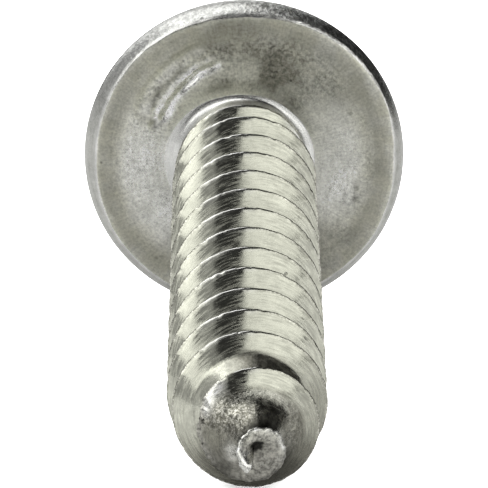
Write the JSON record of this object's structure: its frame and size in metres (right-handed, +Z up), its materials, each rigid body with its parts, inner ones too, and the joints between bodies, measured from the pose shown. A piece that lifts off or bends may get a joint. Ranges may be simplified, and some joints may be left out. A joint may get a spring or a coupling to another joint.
{
  "type": "truss head screw",
  "caption": "Coarse-threaded tapping screw with a wide low truss head, a cross recess and a gimlet point, for fastening sheet or board.",
  "frame": {"origin": "bottom centre of the bounding box, on the surface that the screw lies on", "axes": "the screw's axis lies in the YZ plane, head towards +Y and point towards -Y, drooping about 6.5 degrees; +Z up"},
  "size_m": [0.0108, 0.0342, 0.0107],
  "materials": {
    "stainless_steel": "plain rolled and headed stainless steel, slightly tarnished, with fine machining lines and scuffs"
  },
  "bodies": {
    "root": {"truss_head_screw": "stainless_steel"}
  },
  "joints": []
}
